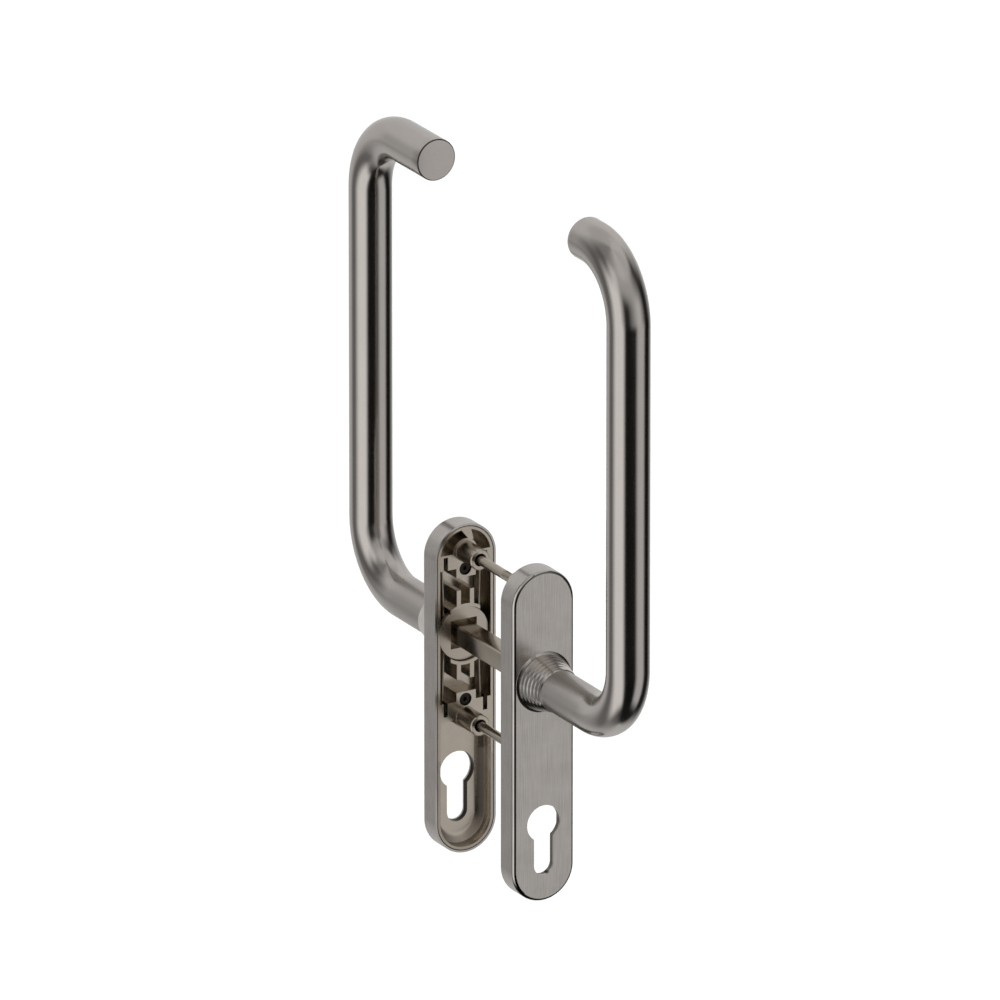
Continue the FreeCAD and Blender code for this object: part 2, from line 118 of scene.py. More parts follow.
def add_node(
    tree: Tree,
    kind: str,
    settings: Optional[dict[str, Any]] = None,
    inputs: Optional[dict[Any, Any]] = None,
) -> Node:
    """Adds one node, sets its properties and fills or links its inputs.

    Args:
        tree: the node tree.
        kind: the end of the node's class name, after "ShaderNode".
        settings: properties of the node by name.
        inputs: by input name or number, a value, a socket to link, or a node whose first
            output in use is linked.

    Returns:
        The new node.
    """
    node = tree.nodes.new("ShaderNode" + kind)
    for key, value in (settings or {}).items():
        setattr(node, key, value)
    for key, value in (inputs or {}).items():
        if isinstance(value, Node):
            value = next(socket for socket in value.outputs if socket.enabled)
        if isinstance(value, Socket):
            tree.links.new(value, node.inputs[key])
        else:
            node.inputs[key].default_value = value
    return node


def add_object(name: str, data: Any) -> bpy.types.Object:
    """Makes an object of a mesh, camera or light and links it to the scene."""
    made = bpy.data.objects.new(name, data)
    bpy.context.scene.collection.objects.link(made)
    return made


@dataclass
class Point:
    """What a metal reads at the point that is shaded. Each value is made once, on demand."""

    tree: Tree
    lower_centre_mm: float = -91.0

    @cached_property
    def place(self) -> Socket:
        """The object's own coordinates, in metres."""
        return add_node(self.tree, "TexCoord").outputs["Object"]

    @cached_property
    def normal(self) -> Socket:
        """The way the surface faces."""
        return add_node(self.tree, "NewGeometry").outputs["Normal"]

    @cached_property
    def spot(self) -> Any:
        """The place's X, Y and Z."""
        return add_node(self.tree, "SeparateXYZ", {}, {0: self.place}).outputs

    @cached_property
    def heading(self) -> Any:
        """The normal's X, Y and Z."""
        return add_node(self.tree, "SeparateXYZ", {}, {0: self.normal}).outputs

    @cached_property
    def away(self) -> Node:
        """Distance from the middle of the door."""
        return add_node(self.tree, "Math", {"operation": "ABSOLUTE"}, {0: self.spot["Y"]})

    @cached_property
    def facing(self) -> Node:
        """Share of the normal across the door: 1 on a plate's face, 0 on its sides."""
        return add_node(self.tree, "Math", {"operation": "ABSOLUTE"}, {0: self.heading["Y"]})

    @cached_property
    def reach(self) -> Node:
        """Distance from the plate's middle line, and past the lower arc's centre from that centre."""
        centre = self.lower_centre_mm * MM
        drop = add_node(self.tree, "Math", {"operation": "SUBTRACT"}, {0: self.spot["Z"], 1: centre})
        drop = add_node(self.tree, "Math", {"operation": "MINIMUM"}, {0: drop, 1: 0.0})
        out = add_node(self.tree, "CombineXYZ", {}, {"X": self.spot["X"], "Z": drop})
        return add_node(self.tree, "VectorMath", {"operation": "LENGTH"}, {0: out})

    @cached_property
    def edge(self) -> Node:
        """1 on rounded edges. With y the share across the door, |y| (1 - |y|) is above zero."""
        rest = add_node(self.tree, "Math", {"operation": "SUBTRACT"}, {0: 1.0, 1: self.facing})
        both = self.overlap(self.facing, rest)
        return add_node(self.tree, "MapRange", {}, {"Value": both, "From Min": 0.006, "From Max": 0.02})

    def overlap(self, *masks: Node) -> Node:
        """1 where every mask is 1: the masks' product.

        Args:
            masks: nodes that give 0 to 1.

        Returns:
            The product's node.
        """
        whole, *others = masks
        for mask in others:
            whole = add_node(self.tree, "Math", {"operation": "MULTIPLY"}, {0: whole, 1: mask})
        return whole

    def holds(self, *tests: tuple[str, Any, float]) -> Node:
        """1 where every test holds.

        Args:
            tests: for each, the comparison's name, the value and its limit.

        Returns:
            The mask's node.
        """
        made = []
        for sign, value, limit in tests:
            made.append(add_node(self.tree, "Math", {"operation": sign}, {0: value, 1: limit}))
        return self.overlap(*made)


@dataclass(frozen=True)
class Zone:
    """A part of a surface that has its own colour, roughness or spread of reflections."""

    colour: Optional[str] = None
    roughness: Optional[float] = None
    anisotropy: Optional[float] = None

    def mask(self, at: Point) -> Node:
        """1 in the zone and 0 outside it.

        Args:
            at: what the metal reads.

        Returns:
            The mask's node.
        """
        raise NotImplementedError


@dataclass(frozen=True)
class GroundEdge(Zone):
    """A rounded edge, which is smoother than the face beside it."""

    def mask(self, at: Point) -> Node:
        """1 where the surface faces neither out of the door nor along it."""
        return at.edge


@dataclass(frozen=True)
class PaintedEdgeShade(Zone):
    """Painted shade: a dark line where an edge's rounding runs into the face, and dark under the edge."""

    def mask(self, at: Point) -> Node:
        """1 where the normal's share across the door lies between about 0.83 and 0.985.

        The line is painted shade that stands in for the dark reflection along the rounding, and the dark
        under an edge that faces down is painted shade. It fades on an edge that faces up, and an edge that
        faces down is dark over its whole width.

        Args:
            at: what the metal reads.

        Returns:
            The mask's node.
        """
        rise = at.heading["Z"]
        inner = {"Value": at.facing, "From Min": 0.8, "From Max": 0.86}
        outer = {"Value": at.facing, "From Min": 0.992, "From Max": 0.98}
        upper = {"Value": rise, "From Min": 0.5, "From Max": 0.1, "To Min": 0.55, "To Max": 1.0}
        under = {"Value": rise, "From Min": -0.12, "From Max": -0.35}
        masks = [add_node(at.tree, "MapRange", {}, limits) for limits in (inner, outer, upper, under)]
        line, low = at.overlap(*masks[:3]), at.overlap(masks[3], at.edge)
        return add_node(at.tree, "Math", {"operation": "MAXIMUM"}, {0: line, 1: low})


@dataclass(frozen=True)
class TubeRoot(Zone):
    """The part of a tube between the plate and its first bend."""

    span_mm: tuple[float, float] = (74.0, 96.0)
    top_mm: float = 60.0

    def mask(self, at: Point) -> Node:
        """1 near the plate, falling to 0 over the span, and 0 above the top."""
        near, far = self.span_mm
        limits = {"Value": at.away, "From Min": far * MM, "From Max": near * MM}
        fall = add_node(at.tree, "MapRange", {"interpolation_type": "SMOOTHSTEP"}, limits)
        return at.overlap(fall, at.holds(("LESS_THAN", at.spot["Z"], self.top_mm * MM)))


@dataclass(frozen=True)
class TubeEndShadeLine(Zone):
    """The fine rounding of a tube's closed end, where a dark line of shade is painted."""

    depth_mm: float = 0.0
    bottom_mm: float = 60.0
    facing_span: tuple[float, float] = (0.12, 0.985)

    def mask(self, at: Point) -> Node:
        """1 above the neck, within the end's depth, where the normal is neither along nor square."""
        low, high = self.facing_span
        return at.holds(
            ("GREATER_THAN", at.spot["Z"], self.bottom_mm * MM),
            ("LESS_THAN", at.away, self.depth_mm * MM),
            ("GREATER_THAN", at.facing, low),
            ("LESS_THAN", at.facing, high),
        )


@dataclass(frozen=True)
class LockBoreShade(Zone):
    """The walls of the lock cylinder's hole, which get painted shade."""

    half_width_mm: float = 8.95

    def mask(self, at: Point) -> Node:
        """1 on walls that lie low on the plate and at a small reach."""
        return at.holds(
            ("LESS_THAN", at.reach, self.half_width_mm * MM),
            ("LESS_THAN", at.spot["Z"], LOCK_TOP_MM * MM),
            ("LESS_THAN", at.facing, WALL_SHARE),
        )


@dataclass(frozen=True)
class Hollow(Zone):
    """The slope of the hollow round the lock cylinder's hole."""

    span_mm: tuple[float, float] = (9.6, 11.6)

    def mask(self, at: Point) -> Node:
        """1 on slopes low on the plate, rising from 0 over a span of the reach."""
        near, far = self.span_mm
        limits = {"Value": at.reach, "From Min": near * MM, "From Max": far * MM}
        low = ("LESS_THAN", at.spot["Z"], LOCK_TOP_MM * MM)
        slope = at.holds(low, ("GREATER_THAN", at.facing, WALL_SHARE))
        return at.overlap(add_node(at.tree, "MapRange", {}, limits), slope)


@dataclass(frozen=True)
class MetalFinish:
    """A bare or plated metal with fine tool lines and a slight mottle.

    The colour is spread between two tones by two noises: one drawn out along the tool
    lines, and one broad and faint, as hands and plating baths leave it. Zones change the
    colour, roughness or spread of reflections on edges, ends, walls and slopes.
    """

    name: str
    dark: str
    light: str
    roughness: float
    roughness_spread: float = 0.06
    anisotropy: float = 0.0
    grain: Grain = Grain.NONE
    line_width_mm: float = 0.5
    line_length_mm: float = 14.0
    mottle_mm: float = 9.0
    mottle_share: float = 0.35
    bump_mm: float = 0.004
    zones: tuple[Zone, ...] = ()

    def material(self) -> bpy.types.Material:
        """Builds the node tree of this finish, or returns it if it exists."""
        found = bpy.data.materials.get(self.name)
        if found is not None:
            return found
        made = bpy.data.materials.new(self.name)
        tree = empty_tree(made)
        at = Point(tree)
        lines, both = self._noises(at)
        tone = add_node(tree, "MapRange", {}, {"Value": both, **NOISE_SPAN})
        tones = {"Factor": tone, "A": linear(self.dark), "B": linear(self.light)}
        low, high = self.roughness - self.roughness_spread, self.roughness + self.roughness_spread
        rough = {"Value": both, **NOISE_SPAN, "To Min": low, "To Max": high}
        looks: dict[str, Any] = {
            "Base Color": add_node(tree, "Mix", {"data_type": "RGBA"}, tones),
            "Roughness": add_node(tree, "MapRange", {}, rough),
            "Anisotropic": self.anisotropy,
        }
        for zone in self.zones:
            mask = zone.mask(at)
            for key, kind, value in (
                ("Base Color", "RGBA", linear(zone.colour) if zone.colour else None),
                ("Roughness", "FLOAT", zone.roughness),
                ("Anisotropic", "FLOAT", zone.anisotropy),
            ):
                if value is not None:
                    mixed = {"Factor": mask, "A": looks[key], "B": value}
                    looks[key] = add_node(tree, "Mix", {"data_type": kind}, mixed)
        height = {"Strength": 1.0, "Distance": self.bump_mm * MM, "Height": lines}
        looks["Normal"] = add_node(tree, "Bump", {}, height)
        looks["Metallic"] = 1.0
        if self.anisotropy:
            looks["Tangent"] = self._tangent(at)
        surface = add_node(tree, "BsdfPrincipled", {}, looks)
        add_node(tree, "OutputMaterial", {}, {"Surface": surface})
        return made

    def _noises(self, at: Point) -> tuple[Node, Node]:
        """The tool lines, and the lines mixed with a broad mottle.

        Args:
            at: what the metal reads.

        Returns:
            Both noises' nodes.
        """
        across, along = 1.0 / (self.line_width_mm * MM), 1.0 / (self.line_length_mm * MM)
        scales = {
            Grain.UPRIGHT: (across, across, along),
            Grain.ROUND_AXIS: (along, across, along),
            Grain.NONE: (across, across, across),
        }[self.grain]
        stretched = add_node(at.tree, "Mapping", {}, {"Vector": at.place, "Scale": scales})
        fine = {"Vector": stretched, "Scale": 1.0, "Detail": 3.0, "Roughness": 0.6}
        broad = {"Vector": at.place, "Scale": 1.0 / (self.mottle_mm * MM), "Detail": 2.0}
        lines, mottle = (add_node(at.tree, "TexNoise", {}, noise) for noise in (fine, broad))
        shares = {"Factor": self.mottle_share, "A": lines, "B": mottle}
        return lines, add_node(at.tree, "Mix", {"data_type": "FLOAT"}, shares)

    def _tangent(self, at: Point) -> Node:
        """The direction across the tool lines, along which reflections spread.

        It is the turning axis on lines that run round it, and level on upright lines.

        Args:
            at: what the metal reads.

        Returns:
            A node that gives the direction.
        """
        if self.grain is Grain.ROUND_AXIS:
            return add_node(at.tree, "CombineXYZ", {}, {"Y": 1.0})
        upright = (0.0, 0.0, 1.0)
        return add_node(at.tree, "VectorMath", {"operation": "CROSS_PRODUCT"}, {0: at.normal, 1: upright})


# Stainless steel sheet, drawn and belt-ground upright: fine lines that spread a reflection
# sideways. Real lines are about 0.1 mm wide; they are drawn at 0.45 mm so that they show.
BRUSHED_COVER = MetalFinish(
    name="stainless_brushed_upright",
    dark="#aca6a1",
    light="#d2cdc8",
    roughness=0.22,
    anisotropy=0.5,
    grain=Grain.UPRIGHT,
    line_width_mm=0.45,
    line_length_mm=16.0,
    bump_mm=0.003,
    # The edge zone's dark colour is painted shade along the rounding's inner line and under edges that face
    # down.
    zones=(GroundEdge(roughness=0.03, anisotropy=0.0), PaintedEdgeShade(colour="#262422")),
)
# Stainless steel tube, satin-polished after bending: smooth bands with soft edges, and
# duller where the polishing wheel doesn't reach, beside the plate.
SATIN_GRIP = MetalFinish(
    name="stainless_satin_polished",
    dark="#b7b1ac",
    light="#c3bdb8",
    roughness=0.17,
    roughness_spread=0.03,
    mottle_mm=14.0,
    line_width_mm=0.6,
    bump_mm=0.0005,
    zones=(TubeRoot(roughness=0.36),),
)
# Painted shade: the dark line round the tube's closed end.
GRIP_END_SHADE_COLOUR = "#55514d"
# Stainless steel, turned on a lathe and brushed while it spins: rings round the axis.
TURNED_COLLAR = MetalFinish(
    name="stainless_turned",
    dark="#c2bdb8",
    light="#e0dad4",
    roughness=0.14,
    roughness_spread=0.04,
    anisotropy=0.1,
    grain=Grain.ROUND_AXIS,
    line_length_mm=20.0,
    bump_mm=0.006,
)
# Zinc die casting with satin nickel plate: warm grey, slightly orange-peeled, and duller
# in the hollow round the lock's hole.
PLATED_CASTING = MetalFinish(
    name="zinc_casting_satin_nickel",
    dark="#b8aea1",
    light="#c9c0b3",
    roughness=0.24,
    roughness_spread=0.04,
    line_width_mm=0.7,
    mottle_mm=6.0,
    bump_mm=0.006,
    zones=(Hollow(roughness=0.38),),
)
# The same casting with painted shade on the lock hole's walls: dark on the interior
# side, and a paler grey on the exterior side.
BORE_SHADED_CASTINGS = {
    side: replace(
        PLATED_CASTING,
        name=f"{PLATED_CASTING.name}_{shade}_bore",
        zones=PLATED_CASTING.zones + (LockBoreShade(colour=colour),),
    )
    for side, shade, colour in ((Side.INTERIOR, "dark", "#2c261f"), (Side.EXTERIOR, "grey", "#7d766d"))
}
# Zinc die casting, tumbled: the rotor turns in the carrier, so it's duller all over.
TUMBLED_CASTING = MetalFinish(
    name="zinc_casting_tumbled",
    dark="#bdb3a6",
    light="#cec5b8",
    roughness=0.32,
    roughness_spread=0.05,
    line_width_mm=0.7,
    mottle_mm=6.0,
    bump_mm=0.006,
)
# Cold-rolled spring strip: darker, with a tight sheen along the strip.
SPRING_STRIP = MetalFinish(
    name="spring_steel_rolled",
    dark="#8b857c",
    light="#a9a399",
    roughness=0.28,
    anisotropy=0.4,
    grain=Grain.UPRIGHT,
    line_width_mm=0.3,
    line_length_mm=9.0,
)
# Cold-headed steel screw, black: nearly black, with a faint shine on its edges. On the cover screws, which
# sit in deep holes, the black is partly painted shade of those holes.
PLATED_SCREW = MetalFinish(
    name="steel_screw_black_and_hole_shade",
    dark="#24211e",
    light="#3d3934",
    roughness=0.34,
    line_width_mm=0.4,
    mottle_mm=3.0,
)
# Drawn steel bar, bright zinc plate: warm grey with a soft shine.
PLATED_BAR = MetalFinish(
    name="steel_bar_bright_zinc",
    dark="#a59a8c",
    light="#bdb3a6",
    roughness=0.2,
    mottle_mm=7.0,
)


@dataclass(frozen=True)
class Role:
    """A piece's metal, the body that it rides on and its material slot in the record.

    Edges that turn by more than sharp_deg stay sharp. A shared part has no side in its name.
    """

    finish: MetalFinish
    body: Body
    slot: str
    sharp_deg: float = 38.0
    shared: bool = False


def circle(count: int = AROUND) -> np.ndarray:
    """Even angles round a circle, from 0."""
    return np.linspace(0.0, 2 * np.pi, count, endpoint=False)


def softened(profile: Sequence[tuple[float, float]], radius: float, steps: int = 4) -> np.ndarray:
    """Rounds the inner corners of an open profile.

    Each corner becomes a quadratic curve from a point on one edge to a point on the next,
    both at the given distance from the corner or 0.45 of the shorter edge.

    Args:
        profile: corners in order.
        radius: distance from a corner at which its curve starts, in millimetres.
        steps: points on each curve, less one.

    Returns:
        The profile's points, first and last corner unchanged.
    """
    corners = np.asarray(profile, float)
    before, middle, after = corners[:-2], corners[1:-1], corners[2:]
    reach_in = np.linalg.norm(before - middle, axis=1, keepdims=True)
    reach_out = np.linalg.norm(after - middle, axis=1, keepdims=True)
    cut = np.minimum(radius, 0.45 * np.minimum(reach_in, reach_out))
    start = middle + (before - middle) * cut / reach_in
    end = middle + (after - middle) * cut / reach_out
    t = np.linspace(0.0, 1.0, steps + 1)[None, :, None]
    curve = (1 - t) ** 2 * start[:, None] + 2 * t * (1 - t) * middle[:, None] + t**2 * end[:, None]
    return np.vstack([corners[:1], curve.reshape(-1, corners.shape[1]), corners[-1:]])


def turned_rings(profile: np.ndarray, angle: np.ndarray) -> np.ndarray:
    """Turns (radius, depth) points about the Y axis.

    A point at angle a of the ring with radius r and depth d lies at (r cos a, d, r sin a).

    Args:
        profile: radius and depth of each ring.
        angle: the angles of each ring's points.

    Returns:
        An array of rings by points by coordinates.
    """
    radius, depth = profile[:, :1], profile[:, 1:2]
    return np.stack([radius * np.cos(angle), depth + 0.0 * angle, radius * np.sin(angle)], -1)


def skin_points(rings: np.ndarray) -> np.ndarray:
    """Vertices of a skin whose first and last rings shrink to their middles."""
    return np.vstack([rings[:1].mean(1), rings[1:-1].reshape(-1, 3), rings[-1:].mean(1)])


def skin_faces(rings: int, around: int) -> list[np.ndarray]:
    """Faces of a skin whose first and last rings are single poles.

    Vertex 0 is the first pole, then come the rings between, and the last pole.

    Args:
        rings: number of rings, poles included.
        around: points on each ring.

    Returns:
        One array of quads and two of triangles.
    """
    index = 1 + np.arange((rings - 2) * around).reshape(rings - 2, around)
    beside = np.roll(index, -1, axis=1)
    quads = np.stack([index[:-1], index[1:], beside[1:], beside[:-1]], -1).reshape(-1, 4)
    last = (rings - 2) * around + 1
    first_fan = np.stack([np.zeros(around, int), index[0], beside[0]], -1)
    last_fan = np.stack([np.full(around, last), beside[-1], index[-1]], -1)
    return [quads, first_fan, last_fan]


def outward_faces(points: np.ndarray, faces: Sequence[np.ndarray]) -> list[list[int]]:
    """Turns all faces round if they enclose a negative volume.

    The volume is the sum over triangles of a . (b x c) / 6, with each quad taken as two.

    Args:
        points: vertices.
        faces: arrays of faces, each with three or four corners per row.

    Returns:
        Faces as lists, pointing out of the closed skin.
    """
    volume = 0.0
    for block in faces:
        for k in range(1, block.shape[1] - 1):
            a, b, c = points[block[:, 0]], points[block[:, k]], points[block[:, k + 1]]
            volume += float(np.einsum("ij,ij->i", a, np.cross(b, c)).sum())
    order = slice(None, None, 1 if volume > 0 else -1)
    return [row for block in faces for row in block[:, order].tolist()]


@dataclass
class Maker:
    """Puts finished pieces into the scene on one side of the door."""

    side: Side

    def node(self, part: str, shared: bool = False) -> str:
        """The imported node's name of one of this side's parts, or of one that both share."""
        return part if shared else f"{self.side.name.lower()}_{part}"

    def placed(self, points: np.ndarray) -> np.ndarray:
        """Plate-frame points on this side: the exterior side is turned half round about Z."""
        return points * np.array([self.side.value, self.side.value, 1.0])

    def skin(self, part: str, rings: np.ndarray, role: Role) -> None:
        """Makes a closed piece from rings whose first and last shrink to a pole.

        Args:
            part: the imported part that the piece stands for.
            rings: rings by points by coordinates, in millimetres.
            role: the piece's metal, body and slot.
        """
        points = skin_points(rings)
        self.piece(part, points, outward_faces(points, skin_faces(*rings.shape[:2])), role)

    def piece(self, part: str, points: np.ndarray, faces: list[list[int]], role: Role) -> None:
        """Writes a mesh with smooth faces and sharp edges, and dresses it.

        Args:
            part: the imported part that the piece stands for.
            points: vertices in the plate frame, in millimetres.
            faces: vertex numbers of each face.
            role: the piece's metal, body and slot.
        """
        mesh = bpy.data.meshes.new(self.node(part, role.shared) + "_fine")
        mesh.from_pydata((self.placed(points) * MM).tolist(), [], faces)
        mesh.shade_smooth()
        mesh.set_sharp_from_angle(angle=math.radians(role.sharp_deg))
        self.dress(mesh, part, role)

    def dress(self, mesh: bpy.types.Mesh, part: str, role: Role) -> bpy.types.Object:
        """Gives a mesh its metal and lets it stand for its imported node.

        Args:
            mesh: the finished mesh.
            part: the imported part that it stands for.
            role: the piece's metal, body and slot.

        Returns:
            The new object.
        """
        node = self.node(part, role.shared)
        mesh.materials.clear()
        mesh.materials.append(role.finish.material())
        made = add_object(node + "_fine", mesh)
        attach(made, role.body.value)
        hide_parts(node)
        LOG.info("%s: %d faces", made.name, len(mesh.polygons))
        return made

    def merged_copy(self, part: str, flat_deg: Optional[float] = None) -> bpy.types.Mesh:
        """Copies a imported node's mesh and merges its loose triangles.

        Args:
            part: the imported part.
            flat_deg: neighbours that turn by less become one face, if given.

        Returns:
            The new mesh, without the node's own normals.
        """
        work = bmesh.new()
        work.from_mesh(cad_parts[self.node(part)].data)
        bmesh.ops.remove_doubles(work, verts=work.verts, dist=MERGE_DISTANCE)
        if flat_deg is not None:
            limit, parts = math.radians(flat_deg), {"verts": work.verts, "edges": work.edges}
            bmesh.ops.dissolve_limit(work, angle_limit=limit, use_dissolve_boundaries=False, **parts)
        mesh = bpy.data.meshes.new(self.node(part) + "_fine")
        work.to_mesh(mesh)
        work.free()
        if "custom_normal" in mesh.attributes:
            mesh.attributes.remove(mesh.attributes["custom_normal"])
        return mesh

    def points_of(self, mesh: bpy.types.Mesh) -> np.ndarray:
        """A mesh's vertices in the plate frame, in millimetres."""
        flat = np.empty(len(mesh.vertices) * 3)
        mesh.vertices.foreach_get("co", flat)
        return self.placed(flat.reshape(-1, 3) / MM)

    def move_points(self, mesh: bpy.types.Mesh, points: np.ndarray) -> None:
        """Puts vertices from the plate frame back into their mesh."""
        mesh.vertices.foreach_set("co", (self.placed(points) * MM).reshape(-1))
        mesh.update()


@dataclass
class Grip:
    """The bent tube: neck, bend, upright, bend and the leg that turns back."""

    height: float
    leg: float
    radius: float = 10.0
    bore: float = 8.0
    bore_depth: float = 12.0
    bend: float = 31.0
    start: float = 55.8
    axis_depth: float = 117.25
    end_round: float = 0.6
    lip: float = 0.25
    bend_steps: int = 72
    upright_steps: int = 24
    neck_steps: int = 8
    leg_steps: int = 6
    round_steps: int = 6

    @property
    def runs(self) -> np.ndarray:
        """Lengths of the neck, first bend, upright, second bend and leg."""
        neck, quarter = self.axis_depth - self.bend - self.start, self.bend * np.pi / 2
        return np.array([neck, quarter, self.height - 2 * self.bend, quarter, self.leg - self.bend])

    def path(self, along: np.ndarray) -> tuple[np.ndarray, np.ndarray]:
        """Points and headings of the tube's middle line.

        The line is straight, then a quarter circle, straight, a quarter circle and
        straight. Each run's passed length is cut to between 0 and its whole length, and
        the place adds each run's own part along its heading.

        Args:
            along: lengths from the collar's nose.

        Returns:
            Centres and unit headings in the (depth, height) plane.
        """
        runs = self.runs[:, None]
        first, arc_one, rise, arc_two, back = np.clip(along - np.cumsum(runs, 0) + runs, 0.0, runs)
        turn_one, turn_two = arc_one / self.bend, arc_two / self.bend
        depth = self.start + first + self.bend * np.sin(turn_one)
        depth = depth - self.bend * (1 - np.cos(turn_two)) - back
        lift = self.bend * (1 - np.cos(turn_one)) + rise + self.bend * np.sin(turn_two)
        turn, zero = turn_one + turn_two, np.zeros_like(along)
        return np.stack([zero, depth, lift], -1), np.stack([zero, np.cos(turn), np.sin(turn)], -1)

    def rings(self) -> np.ndarray:
        """Rings of the closed skin, carried along the middle line.

        Each ring lies square to the line: centre + r (cos a X + sin a (heading x X)).
        """
        neck, bent, risen, turned, total = np.cumsum(self.runs)
        bends = np.linspace(0.0, bent - neck, self.bend_steps + 1)
        run = np.concatenate(
            [
                np.linspace(self.lip, neck, self.neck_steps)[:-1],
                neck + bends,
                np.linspace(bent, risen, self.upright_steps)[1:-1],
                risen + bends,
                np.linspace(turned, total - self.end_round, self.leg_steps)[1:-1],
            ]
        )
        t = np.linspace(0.0, np.pi / 2, self.round_steps)
        close_s = total - self.end_round + self.end_round * np.sin(t)
        close_r = self.radius - self.end_round + self.end_round * np.cos(t)
        s = np.concatenate([[self.bore_depth, self.bore_depth, 0.0, 0.0], run, close_s, [total]])
        foot_r, run_r = [0.0, self.bore, self.bore, self.radius - self.lip], np.full(run.size, self.radius)
        r = np.concatenate([foot_r, run_r, close_r, [0.0]])
        centre, heading = self.path(s)
        angle, side = circle()[None, :, None], np.array([1.0, 0.0, 0.0])
        ring = np.cos(angle) * side + np.sin(angle) * np.cross(heading, side)[:, None, :]
        return centre[:, None, :] + r[:, None, None] * ring

    def build(self, maker: Maker) -> None:
        """Makes the tube on one side, with a painted shade line round its closed end."""
        end = TubeEndShadeLine(colour=GRIP_END_SHADE_COLOUR, depth_mm=self.axis_depth - self.leg + self.end_round)
        name = f"{SATIN_GRIP.name}_{maker.side.name.lower()}"
        finish = replace(SATIN_GRIP, name=name, zones=SATIN_GRIP.zones + (end,))
        maker.skin("grip", self.rings(), Role(finish, Body.HANDLES, "satin_grip", 32.0))


@dataclass
class Collar:
    """The turned collar with its radial screw hole."""

    base: float = 42.6
    nose: float = 55.8
    base_radius: float = 13.6
    nose_radius: float = 10.35
    edge: float = 0.3
    bore: float = 8.05
    bore_end: float = 52.45
    spigot: float = 7.95
    spigot_end: float = 65.8
    hole_depth: float = 48.6
    hole_radius: float = 2.5
    ring_pitch: float = 2.2
    ring_depth: float = 0.12
    softening: float = 0.1
    around: int = 192
    hole_cells: int = 6
    warp_cells: int = 12
    base_rows: int = 3
    nose_rows: int = 11

    def surface(self, depth: np.ndarray) -> np.ndarray:
        """Outer radius: an even taper with shallow turned waves, deepest in mid length."""
        share = (depth - self.base) / (self.nose - self.base)
        taper = self.base_radius + share * (self.nose_radius - self.base_radius)
        wave = 0.5 - 0.5 * np.cos(2 * np.pi * (depth - self.base) / self.ring_pitch)
        return taper - self.ring_depth * wave * np.clip(4 * share * (1 - share), 0.0, 1.0)

    def outer(self, angle: np.ndarray) -> np.ndarray:
        """The outer surface's grid, with a round hole warped into it at the lowest angle.

        Round the hole the grid's squares are pushed onto circles: a point whose larger
        flat coordinate is p moves from a circle of the hole's radius, at the hole's edge,
        back to its own place where the warp ends. The cells inside become the hole.

        Args:
            angle: the columns' angles.

        Returns:
            Rows by columns by coordinates.
        """
        mid_radius = float(self.surface(np.array([self.hole_depth]))[0])
        cell = mid_radius * 2 * np.pi / self.around
        window = np.arange(-self.warp_cells - 1, self.warp_cells + 2) * cell + self.hole_depth
        low = np.linspace(self.base + self.edge, window[0], self.base_rows + 1)[:-1]
        high = np.linspace(window[-1], self.nose - self.edge, self.nose_rows + 1)[1:]
        rows = np.concatenate([low, window, high])
        u, v = np.meshgrid(rows - self.hole_depth, mid_radius * (angle + np.pi / 2), indexing="ij")
        larger = np.maximum(np.abs(u), np.abs(v))
        edge, far = self.hole_cells * cell, self.warp_cells * cell
        share = np.clip((larger - edge) / (far - edge), 0.0, 1.0)
        round_off = (1 - share) * self.hole_radius / np.maximum(np.hypot(u, v), 1e-9) + share
        round_off = np.where(larger < edge - 0.5 * cell, 1.0, round_off)
        depth, turn = self.hole_depth + round_off * u, -np.pi / 2 + round_off * v / mid_radius
        radius = self.surface(depth)
        return np.stack([radius * np.cos(turn), depth, radius * np.sin(turn)], -1)

    def build(self, maker: Maker) -> None:
        """Makes the collar: the outer grid, its turned ends, and the hole's wall and floor."""
        half = self.around // 2
        angle = -np.pi / 2 + np.arange(-half, half) * 2 * np.pi / self.around
        before = [(0, self.bore_end), (self.bore, self.bore_end), (self.bore, self.base)]
        before += [(self.base_radius - self.edge, self.base)]
        after = [(self.nose_radius - self.edge, self.nose), (self.spigot, self.nose)]
        after += [(self.spigot, self.spigot_end), (0, self.spigot_end)]
        head, tail = (turned_rings(softened(ends, self.softening, 2), angle) for ends in (before, after))
        rings = np.concatenate([head, self.outer(angle), tail])
        points = skin_points(rings)
        quads, first_fan, last_fan = skin_faces(*rings.shape[:2])

        row = len(head) + self.base_rows + self.warp_cells - self.hole_cells
        column, size = half - self.hole_cells, 2 * self.hole_cells
        keep = np.ones((len(rings) - 3, self.around), bool)
        keep[row : row + size, column : column + size] = False
        grid = 1 + np.arange((len(rings) - 2) * self.around).reshape(-1, self.around)
        patch = grid[row : row + size + 1, column : column + size + 1]
        loop = np.concatenate([patch[0, :-1], patch[:-1, -1], patch[-1, :0:-1], patch[:0:-1, 0]])
        foot = points[loop] * [1, 1, 0] - [0, 0, self.bore]
        extra = len(points) + np.arange(len(loop))
        pole = np.full(len(loop), len(points) + len(loop))
        points = np.vstack([points, foot, foot.mean(0, keepdims=True)])
        wall = np.stack([loop, np.roll(loop, -1), np.roll(extra, -1), extra], -1)
        floor = np.stack([extra, np.roll(extra, -1), pole], -1)
        blocks = [quads[keep.reshape(-1)], first_fan, last_fan, wall, floor]
        used = np.unique(np.concatenate([block.reshape(-1) for block in blocks]))
        number = np.zeros(len(points), int)
        number[used] = np.arange(len(used))
        faces = outward_faces(points[used], [number[block] for block in blocks])
        maker.piece("collar", points[used], faces, Role(TURNED_COLLAR, Body.HANDLES, "turned_collar", 32.0))


